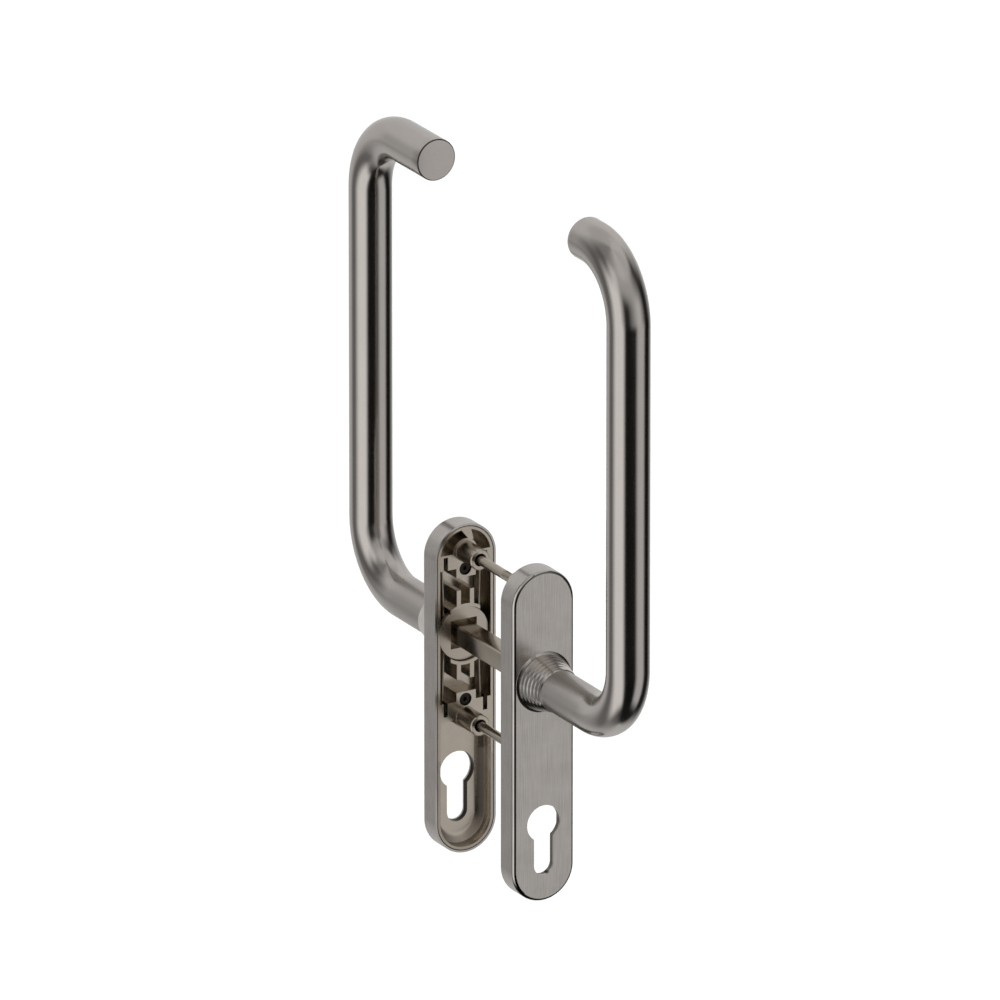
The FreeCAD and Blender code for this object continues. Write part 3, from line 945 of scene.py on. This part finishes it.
@dataclass
class BearingBush:
    """The flanged bush whose rim shows as a thin ring on the plate."""

    inner: float = 8.05
    outer: float = 9.2
    floor: float = 38.7
    face: float = 41.5
    flange_edge: float = 41.6
    flange_face: float = 42.3
    flange_lip: float = 13.4
    flange: float = 14.6
    membrane: float = 0.2
    softening: float = 0.08
    around: int = 128

    def build(self, maker: Maker) -> None:
        """Makes the bush as a turned skin with softened edges and a closed bore."""
        profile = [
            (0, self.floor + self.membrane),
            (self.inner, self.floor + self.membrane),
            (self.inner, self.floor),
            (self.outer, self.floor),
            (self.outer, self.face),
            (self.flange, self.face),
            (self.flange, self.flange_edge),
            (self.flange_lip, self.flange_face),
            (self.inner, self.flange_face),
            (self.inner, self.floor + 2 * self.membrane),
            (0, self.floor + 2 * self.membrane),
        ]
        rings = turned_rings(softened(profile, self.softening), circle(self.around))
        maker.skin("bearing_bush", rings, Role(TURNED_COLLAR, Body.PLATES, "turned_collar"))


@dataclass(frozen=True)
class Screw:
    """A screw or bolt with a round head, a hexagon socket and a cut thread.

    Depths run from the head's outer face, at 0, along the shank. The shares are of the
    key's width, the head's radius and the thread's pitch.
    """

    head_radius: float
    head_depth: float
    shank_radius: float
    key: float
    key_depth: float
    thread_start: float
    pitch: float
    edge: float = 0.2
    steps_per_turn: int = 8
    drill_share: float = 0.15
    land_share: float = 0.6
    cut_share: float = 0.6
    key_bevel: float = 0.12

    def rings(self, length: float) -> np.ndarray:
        """Rings by points by coordinates, with the axis along Y and the head at Y = 0.

        A socket ring is a hexagon: half the key width / cos(angle to the nearest flat's
        middle). A thread ring's radius falls by a triangle wave of the depth less the
        share of the turn, so that the ridge winds round the shank.

        Args:
            length: from the head's face to the tip.

        Returns:
            The rings.
        """
        angle = circle()
        flat = np.ones_like(angle)
        hexagon = 0.5 * self.key / np.cos(np.mod(angle, np.pi / 3) - np.pi / 6)
        rows = [
            (self.key_depth + self.drill_share * self.key, 0.0 * flat),
            (self.key_depth, 0.96 * hexagon),
            (self.key_depth, hexagon),
            (self.key_bevel, hexagon),
            (0.0, 1.04 * hexagon),
        ]
        head = [
            (self.land_share * self.head_radius, 0.0),
            (self.head_radius, 0.0),
            (self.head_radius, self.head_depth),
            (self.shank_radius, self.head_depth),
            (self.shank_radius, self.thread_start),
        ]
        rows += [(depth, radius * flat) for radius, depth in softened(head, self.edge)[1:]]
        run = length - self.edge - self.thread_start
        count = max(2, int(run / self.pitch * self.steps_per_turn))
        depth = np.linspace(self.thread_start, length - self.edge, count)[:, None]
        cut = self.cut_share * self.pitch
        wave = np.abs(2 * np.mod(depth / self.pitch - angle / (2 * np.pi), 1.0) - 1)
        fade = np.clip((depth - self.thread_start) / self.pitch, 0.0, 1.0)
        rows += list(zip(depth[:, 0], self.shank_radius - cut * fade * wave))
        rows += [(length, (self.shank_radius - cut - self.edge) * flat), (length, 0.0 * flat)]
        depths = np.array([d for d, _ in rows])[:, None]
        radii = np.array([r for _, r in rows])
        return np.stack([radii * np.cos(angle), depths * flat, radii * np.sin(angle)], -1)

    def aimed(self, length: float, head: Sequence[float], heading: Sequence[float]) -> np.ndarray:
        """The rings with the head's face at a point and the shank along a heading.

        Args:
            length: from the head's face to the tip.
            head: place of the middle of the head's outer face.
            heading: unit direction from the head to the tip.

        Returns:
            Rings by points by coordinates.
        """
        basis = np.stack([[1.0, 0.0, 0.0], heading, np.cross(heading, [1.0, 0.0, 0.0])])
        return self.rings(length) @ basis + np.asarray(head, float)


@dataclass
class LeafSpring:
    """A bowed strip that rests on the cam's flat, with its ends in slots."""

    hand: int
    thickness: float = 0.8
    near: float = 33.9
    depth: float = 4.0
    middle_offset: float = 9.35
    end_spread: float = 1.0
    half_length: float = 38.5
    edge: float = 0.12
    end_share: float = 0.8
    steps: int = 60

    def build(self, maker: Maker) -> None:
        """Carries a rounded oblong section along a shallow arc.

        The middle line's offset grows with the square of the height, from the middle to
        the ends.

        Args:
            maker: the side that it stands on.
        """
        height = np.linspace(-self.half_length, self.half_length, self.steps)
        offset = self.middle_offset + self.end_spread * (height / self.half_length) ** 2
        half, deep = self.thickness / 2, self.depth / 2
        corners = [(-half, 0), (-half, deep), (half, deep), (half, -deep), (-half, -deep), (-half, 0)]
        section = softened(corners, self.edge, 3)[:-1]
        ends = np.concatenate([[0.0, self.end_share], np.ones(self.steps), [self.end_share, 0.0]])
        x = self.hand * (np.pad(offset, 2, "edge")[:, None] + ends[:, None] * section[:, 0])
        y = self.near + deep + ends[:, None] * section[:, 1]
        z = np.pad(height, 2, "edge")[:, None] + 0.0 * x
        name = "leaf_spring_left" if self.hand < 0 else "leaf_spring_right"
        maker.skin(name, np.stack([x, y, z], -1), Role(SPRING_STRIP, Body.PLATES, "spring_steel"))


@dataclass
class SquareSpindle:
    """The drawn square bar with broken edges that keys both handles."""

    width: float = 10.0
    chamfer: float = 0.8
    half_length: float = 50.9
    end_break: float = 0.5
    softening: float = 0.16
    middle: float = 20.0

    def build(self, maker: Maker) -> None:
        """Carries a square with cut corners along Y and breaks its ends.

        Args:
            maker: the side whose frame is the model's own.
        """
        h = self.width / 2
        k, end, near = h - self.chamfer, self.half_length, self.half_length - self.end_break
        corners = [(0, h), (k, h), (h, k), (h, -k), (k, -h), (-k, -h), (-h, -k), (-h, k), (-k, h), (0, h)]
        section = softened(corners, self.softening, 3)[:-1]
        depths = np.array([-end, -end, -near, -self.middle, 0.0, self.middle, near, end, end])
        small = 1 - self.end_break / h
        share = np.array([0.0, small, 1.0, 1.0, 1.0, 1.0, 1.0, small, 0.0])[:, None]
        x, z = share * section[:, 0], share * section[:, 1]
        rings = np.stack([x, depths[:, None] + 0.0 * x, z], -1)
        maker.skin("spindle", rings, Role(PLATED_BAR, Body.HANDLES, "plated_bar", 30.0, True))


@dataclass
class Fasteners:
    """Every screw and bolt of the set."""

    bolt: Screw = Screw(
        head_radius=4.1, head_depth=2.5, shank_radius=2.25, key=4.0, key_depth=1.25,
        thread_start=46.0, pitch=0.8,
    )
    cover_screw: Screw = Screw(
        head_radius=2.8, head_depth=2.2, shank_radius=1.5, key=2.0, key_depth=1.1,
        thread_start=2.9, pitch=0.5, edge=0.15,
    )
    grub: Screw = Screw(
        head_radius=2.1, head_depth=0.3, shank_radius=2.45, key=2.5, key_depth=1.6,
        thread_start=0.5, pitch=0.8, edge=0.12,
    )
    bolt_height: float = 40.5
    cover_screw_length: float = 8.4
    cover_screw_face: float = 30.8
    cover_screw_height: float = 32.0
    grub_depth: float = 48.6

    def build_side(self, maker: Maker) -> None:
        """Makes one side's cover screws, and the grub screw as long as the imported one.

        Args:
            maker: the side that they stand on.
        """
        for name, height in (("lower", -self.cover_screw_height), ("upper", self.cover_screw_height)):
            head = (0, self.cover_screw_face, height)
            rings = self.cover_screw.aimed(self.cover_screw_length, head, (0, 1, 0))
            maker.skin(f"cover_screw_{name}", rings, Role(PLATED_SCREW, Body.PLATES, "plated_screw", 30.0))
        low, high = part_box(maker.node("grub_screw"))
        rings = self.grub.aimed((high.z - low.z) / MM, (0, self.grub_depth, low.z / MM), (0, 0, 1))
        maker.skin("grub_screw", rings, Role(PLATED_SCREW, Body.HANDLES, "plated_screw", 30.0))

    def build_bolts(self, maker: Maker) -> None:
        """Makes the two long bolts, heads in the interior carrier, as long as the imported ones.

        Args:
            maker: the side whose frame is the model's own.
        """
        role = Role(PLATED_BAR, Body.PLATES, "plated_screw", 30.0, True)
        for name, height in (("lower", -self.bolt_height), ("upper", self.bolt_height)):
            low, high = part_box(f"through_bolt_{name}")
            rings = self.bolt.aimed((high.y - low.y) / MM, (0, high.y / MM, height), (0, -1, 0))
            maker.skin(f"through_bolt_{name}", rings, role)


@dataclass(frozen=True)
class PlateOutline:
    """The plate's middle line, between the centres of its two end arcs."""

    low_centre: float = -91.0
    high_centre: float = 37.75

    def offsets(self, points: np.ndarray) -> tuple[np.ndarray, np.ndarray]:
        """Each point's distance from the middle line, and the way it lies from it.

        Args:
            points: plate-frame points.

        Returns:
            Distances, and unit headings with no part across the door.
        """
        out = points * [1, 0, 1]
        out[:, 2] -= np.clip(points[:, 2], self.low_centre, self.high_centre)
        reach = np.linalg.norm(out, axis=1)
        return reach, out / np.maximum(reach, 1e-6)[:, None]


@dataclass
class SoftenedSolid:
    """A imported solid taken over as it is, with its sharp edges slightly rounded."""

    part: str
    role: Role
    edge_mm: float = 0.15
    gap_mm: float = 0.0
    rim_mm: float = 14.94
    flat_deg: float = 0.5

    def build(self, maker: Maker) -> None:
        """Copies the node's mesh, draws its outer wall in by the gap and rounds the edges.

        Args:
            maker: the side that it stands on.
        """
        mesh = maker.merged_copy(self.part, self.flat_deg)
        if self.gap_mm:
            points = maker.points_of(mesh)
            reach, heading = PlateOutline().offsets(points)
            points -= heading * (self.gap_mm * (reach > self.rim_mm - 0.02))[:, None]
            maker.move_points(mesh, points)
        limit = math.radians(self.role.sharp_deg)
        mesh.shade_smooth()
        mesh.set_sharp_from_angle(angle=limit)
        bevel = maker.dress(mesh, self.part, self.role).modifiers.new("edge_round", "BEVEL")
        bevel.width = self.edge_mm * MM
        bevel.segments = 2
        bevel.limit_method = "ANGLE"
        bevel.angle_limit = limit
        bevel.use_clamp_overlap = True
        bevel.harden_normals = True


@dataclass
class CoverPlate:
    """The drawn steel cover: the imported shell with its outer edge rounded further."""

    half_width: float = 16.0
    face: float = 41.5
    packed_edge: float = 0.9
    edge: float = 1.6
    slack: float = 1e-3

    def build(self, maker: Maker) -> None:
        """Copies the node's mesh and normals, and widens the rounding of its outer edge.

        A vertex on the rounding lies s in from the outline and t below the face, both no
        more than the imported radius. Both are multiplied by the ratio of the radii, so that
        the rounding keeps its normals. The outline's inward direction is across the plate
        on the straight sides and towards the nearer arc's centre at the ends.

        Args:
            maker: the side that it stands on.
        """
        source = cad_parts[maker.node("cover_plate")].data
        normals = np.empty(len(source.loops) * 3)
        source.corner_normals.foreach_get("vector", normals)
        mesh = maker.merged_copy("cover_plate")
        points = maker.points_of(mesh)
        reach, heading = PlateOutline().offsets(points)
        inset, below = self.half_width - reach, self.face - points[:, 1]
        near = np.maximum(inset, below) < self.packed_edge + self.slack
        ratio = self.edge / self.packed_edge
        points -= heading * ((ratio - 1) * inset * near)[:, None]
        points[:, 1] -= (ratio - 1) * below * near
        maker.move_points(mesh, points)
        mesh.shade_smooth()
        mesh.normals_split_custom_set(normals.reshape(-1, 3).tolist())
        maker.dress(mesh, "cover_plate", Role(BRUSHED_COVER, Body.PLATES, "brushed_cover"))


@dataclass(frozen=True)
class Panel:
    """A soft box, a fill or a black flag of the studio, in one grey.

    Angles are compass degrees: 0 faces the exterior handle, positive angles go to its right.
    """

    start: float
    end: float
    grey: float


DEEP_PANELS = (
    Panel(-180, -170, 0.62),
    Panel(-105, -100, 0.22),
    Panel(-42, 70, 0.015),
    Panel(118, 160, 0.7),
    Panel(178, 180, 0.62),
)
LOW_PANELS = (
    Panel(-180, -156, 0.6),
    Panel(-138, -122, 0.19),
    Panel(-97, -58, 1.06),
    Panel(-43, 6, 0.01),
    Panel(23, 52, 0.67),
    Panel(66, 90, 0.01),
    Panel(124, 180, 0.6),
)
EYE_PANELS = (
    Panel(-180, -152, 0.65),
    Panel(-127, -116, 0.16),
    Panel(-94, -66, 1.06),
    Panel(-42, -26, 0.03),
    Panel(22, 36, 0.72),
    Panel(65, 84, 0.02),
    Panel(122, 160, 0.7),
    Panel(178, 180, 0.65),
)
HIGH_PANELS = (
    Panel(-180, -145, 0.71),
    Panel(-116, -97, 0.16),
    Panel(-78, -64, 0.85),
    Panel(-50, 18, 0.55),
    Panel(62, 76, 0.07),
    Panel(110, 150, 0.77),
    Panel(165, 180, 0.71),
)
OVERHEAD_PANELS = (
    Panel(-180, -140, 0.6),
    Panel(-118, -92, 0.3),
    Panel(-38, -5, 0.72),
    Panel(30, 45, 0.63),
    Panel(95, 105, 0.75),
    Panel(140, 180, 0.6),
)


@dataclass
class Studio:
    """Camera, white surroundings, the wall that the metal mirrors, floor and lamp.

    The rows of panels follow each other upwards from straight down. Each fades in between
    two height angles.
    """

    azimuth_deg: float = -30.0
    elevation_deg: float = 20.3
    distance: float = 11.0
    lens: float = 867.0
    clip: tuple[float, float] = (1.0, 60.0)
    target: tuple[float, float, float] = (0.01287, 0.02074, 0.06594)
    plain_light: float = 0.6
    floor_height: float = -0.6
    floor_radius: float = 5.0
    floor_grey: float = 0.95
    lamp_energy: float = 1.75
    lamp_width_deg: float = 50.0
    lamp_tilt_deg: tuple[float, float, float] = (18.0, -14.0, 0.0)
    wall_radius: float = 4.0
    wall_steps: tuple[int, int] = (97, 60)
    wall_top_deg: float = 89.5
    first_row: tuple[Panel, ...] = DEEP_PANELS
    rows: tuple[tuple[float, float, tuple[Panel, ...]], ...] = (
        (-66.0, -47.0, LOW_PANELS),
        (-14.0, -4.0, EYE_PANELS),
        (12.0, 35.0, HIGH_PANELS),
        (40.0, 55.0, OVERHEAD_PANELS),
    )

    def build(self) -> None:
        """Makes everything that isn't the object."""
        self._camera()
        self._world()
        self._wall()
        self._floor()
        self._lamp()
        bpy.context.scene.view_settings.view_transform = "Standard"

    def _camera(self) -> None:
        """A long lens at the photograph's angle."""
        data = bpy.data.cameras.new("camera")
        data.lens = self.lens
        data.sensor_width = 36.0
        data.clip_start, data.clip_end = self.clip
        camera = add_object("camera", data)
        a, e = math.radians(self.azimuth_deg), math.radians(self.elevation_deg)
        back = Vector((math.sin(a) * math.cos(e), -math.cos(a) * math.cos(e), math.sin(e)))
        camera.location = Vector(self.target) + back * self.distance
        camera.rotation_mode = "QUATERNION"
        camera.rotation_quaternion = (-back).to_track_quat("-Z", "Y")
        bpy.context.scene.camera = camera

    def _world(self) -> None:
        """White for camera, mirrored and refracted rays, and an even grey for the rest."""
        world = bpy.data.worlds.new("studio")
        bpy.context.scene.world = world
        tree = empty_tree(world)
        path = add_node(tree, "LightPath").outputs
        seen = path["Is Camera Ray"]
        for ray in ("Is Glossy Ray", "Is Transmission Ray"):
            seen = add_node(tree, "Math", {"operation": "MAXIMUM"}, {0: seen, 1: path[ray]})
        light, white = (
            add_node(tree, "Background", {}, {"Color": (1, 1, 1, 1), "Strength": strength})
            for strength in (self.plain_light, 1.0)
        )
        mix = add_node(tree, "MixShader", {}, {0: seen, 1: light, 2: white})
        add_node(tree, "OutputWorld", {}, {"Surface": mix})

    def _wall(self) -> None:
        """A round studio wall with soft grey and dark flags, seen only in the metal.

        The wall is a sphere: direction (sin a cos e, -cos a cos e, sin e) for compass
        angle a and height angle e.
        """
        columns, rows = self.wall_steps
        a = np.radians(np.linspace(-180, 180, columns))[None, :]
        e = np.radians(np.linspace(-self.wall_top_deg, self.wall_top_deg, rows))[:, None]
        grid = np.stack([np.sin(a) * np.cos(e), -np.cos(a) * np.cos(e), np.sin(e) + 0 * a], -1)
        index = np.arange(rows * columns).reshape(rows, columns)
        quads = np.stack([index[:-1, :-1], index[1:, :-1], index[1:, 1:], index[:-1, 1:]], -1).reshape(-1, 4)
        mesh = bpy.data.meshes.new("studio_wall")
        mesh.from_pydata((grid * self.wall_radius).reshape(-1, 3).tolist(), [], quads.tolist())
        wall = add_object("studio_wall", mesh)
        wall.visible_camera = False
        wall.visible_diffuse = False
        wall.visible_shadow = False
        made = bpy.data.materials.new("studio_wall_tones")
        tree = empty_tree(made)
        place = add_node(tree, "TexCoord").outputs["Object"]
        turned = add_node(tree, "Mapping", {}, {"Vector": place, "Rotation": (0.0, 0.0, math.pi / 2)})
        share = add_node(tree, "TexGradient", {"gradient_type": "RADIAL"}, {0: turned}).outputs[1]
        height = add_node(tree, "SeparateXYZ", {}, {0: place}).outputs[2]
        tone = self._ramp(tree, share, self.first_row)
        for start, end, panels in self.rows:
            low, high = (self.wall_radius * math.sin(math.radians(angle)) for angle in (start, end))
            limits = {"Value": height, "From Min": low, "From Max": high}
            risen = add_node(tree, "MapRange", {"interpolation_type": "SMOOTHSTEP"}, limits)
            mixed = {"Factor": risen, "A": tone, "B": self._ramp(tree, share, panels)}
            tone = add_node(tree, "Mix", {"data_type": "RGBA"}, mixed)
        glow = add_node(tree, "Emission", {}, {"Color": tone, "Strength": 1.0})
        add_node(tree, "OutputMaterial", {}, {"Surface": glow})
        mesh.materials.append(made)

    def _ramp(self, tree: Tree, share: Socket, panels: Sequence[Panel]) -> Node:
        """A row of panels round the compass. Between two of them the grey fades evenly.

        Args:
            tree: the wall's node tree.
            share: the turn from -180 degrees, from 0 to 1.
            panels: the row's panels, in order from -180 to 180 degrees.

        Returns:
            The ramp's node.
        """
        ramp = add_node(tree, "ValToRGB", {}, {0: share})
        edges = [(angle, panel.grey) for panel in panels for angle in (panel.start, panel.end)]
        stops = ramp.color_ramp.elements
        while len(stops) < len(edges):
            stops.new(0.5)
        for stop, (angle, _) in zip(stops, edges):
            stop.position = angle / 360.0 + 0.5
        for stop, (_, grey) in zip(stops, edges):
            stop.color = (grey, grey, grey, 1.0)
        return ramp

    def _floor(self) -> None:
        """A pale round floor well below the handles, clear from its underside."""
        angle = circle()
        ring = np.stack([np.cos(angle), np.sin(angle)], -1) * self.floor_radius
        ring = np.column_stack([ring, np.full_like(angle, self.floor_height)])
        mesh = bpy.data.meshes.new("floor")
        mesh.from_pydata(ring.tolist(), [], [list(range(len(ring)))])
        floor = add_object("floor", mesh)
        floor.visible_glossy = False
        made = bpy.data.materials.new("pale_floor")
        tree = empty_tree(made)
        under = add_node(tree, "NewGeometry").outputs["Backfacing"]
        matt = add_node(tree, "BsdfDiffuse", {}, {"Color": (self.floor_grey,) * 3 + (1.0,)})
        mix = add_node(tree, "MixShader", {}, {0: under, 1: matt, 2: add_node(tree, "BsdfTransparent")})
        add_node(tree, "OutputMaterial", {}, {"Surface": mix})
        mesh.materials.append(made)

    def _lamp(self) -> None:
        """One very wide, soft lamp overhead that draws the shadow on the floor."""
        data = bpy.data.lights.new("overhead", "SUN")
        data.energy = self.lamp_energy
        data.angle = math.radians(self.lamp_width_deg)
        lamp = add_object("overhead", data)
        lamp.rotation_euler = [math.radians(tilt) for tilt in self.lamp_tilt_deg]
        lamp.visible_glossy = False


def build_side(side: Side, grip: Grip) -> None:
    """Builds one side's pieces in order, from the plate outwards.

    Args:
        side: which side of the door.
        grip: that side's tube.
    """
    maker = Maker(side)
    # The carrier's finish holds the painted shade on the lock hole's walls.
    carrier = Role(BORE_SHADED_CASTINGS[side], Body.PLATES, "plated_casting")
    rotor = Role(TUMBLED_CASTING, Body.HANDLES, "plated_casting", 32.0)
    CoverPlate().build(maker)
    SoftenedSolid("carrier", carrier, gap_mm=0.3).build(maker)
    SoftenedSolid("rotor", rotor).build(maker)
    BearingBush().build(maker)
    for hand in (-1, 1):
        LeafSpring(hand).build(maker)
    Fasteners().build_side(maker)
    Collar().build(maker)
    grip.build(maker)


def main() -> None:
    """Builds the whole set, then the studio."""
    logging.basicConfig(level=logging.INFO, format="%(message)s")
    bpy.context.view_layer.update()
    build_side(Side.INTERIOR, Grip(height=222.0, leg=61.0))
    build_side(Side.EXTERIOR, Grip(height=226.5, leg=38.0))
    shared = Maker(Side.INTERIOR)
    SquareSpindle().build(shared)
    Fasteners().build_bolts(shared)
    Studio().build()


if __name__ == "__main__":
    main()
